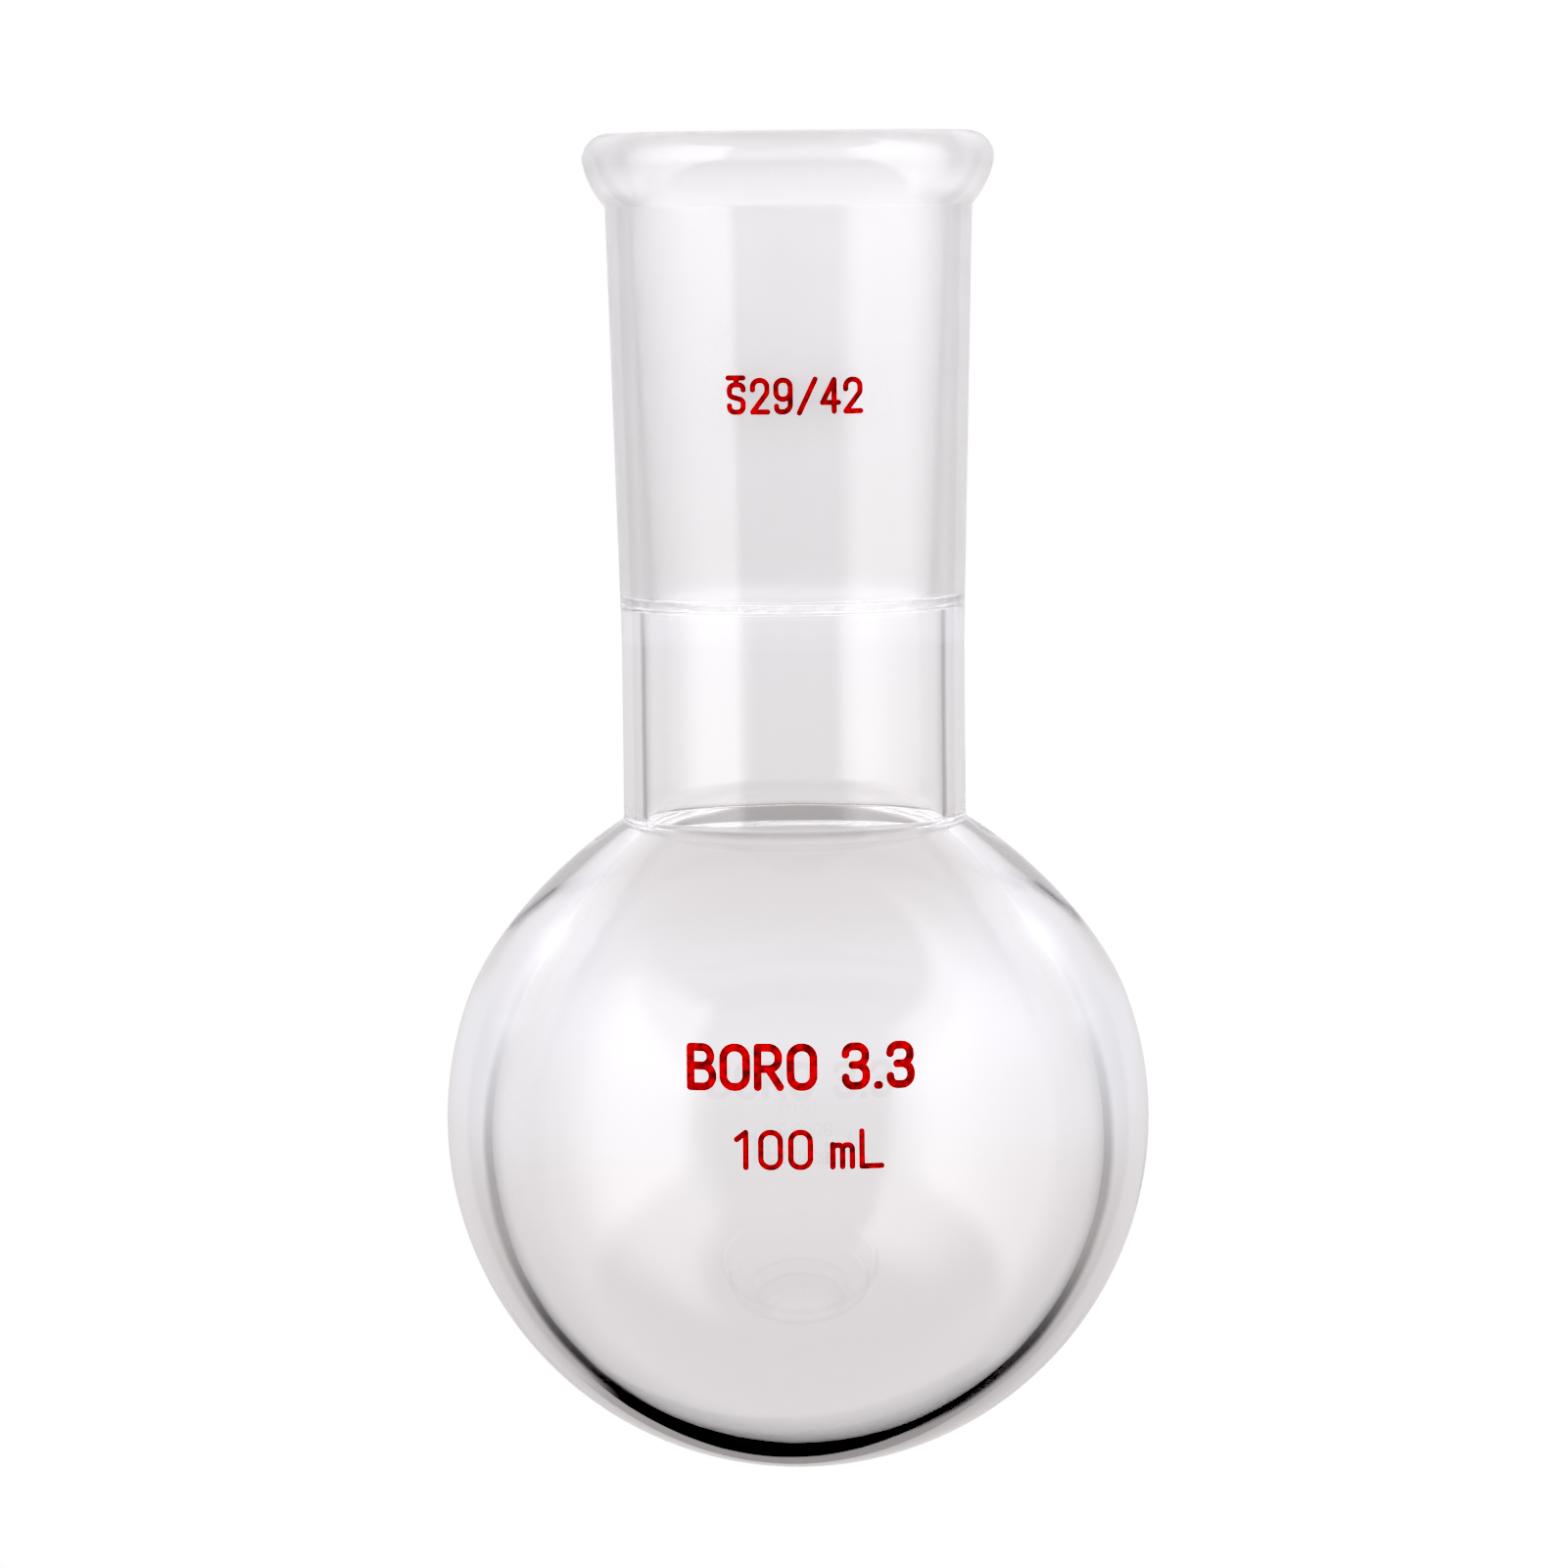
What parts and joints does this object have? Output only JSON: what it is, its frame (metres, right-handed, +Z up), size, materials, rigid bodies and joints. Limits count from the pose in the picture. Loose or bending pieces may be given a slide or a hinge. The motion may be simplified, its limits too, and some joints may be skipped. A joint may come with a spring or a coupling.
{
  "type": "round bottom flask",
  "caption": "Round bottom flask of clear borosilicate glass with a long neck, a tapered ground socket with a beaded mouth, and red enamel marks.",
  "frame": {"origin": "lowest point of the bulb's outside, on the axis", "axes": "+Z up along the axis towards the mouth; the marks face -Y, with their letters running along +X"},
  "size_m": [0.064, 0.064, 0.1215],
  "materials": {
    "clear_glass": "clear fire-polished borosilicate glass",
    "ground_glass": "clear outside, ground matt on the tapered bore",
    "red_enamel": "thin screen-printed enamel, fired on"
  },
  "bodies": {
    "root": {"bulb": "clear_glass", "neck_tube": "clear_glass", "ground_socket": "ground_glass", "joint_size_mark": "red_enamel", "glass_type_mark": "red_enamel", "capacity_mark": "red_enamel"}
  },
  "joints": []
}
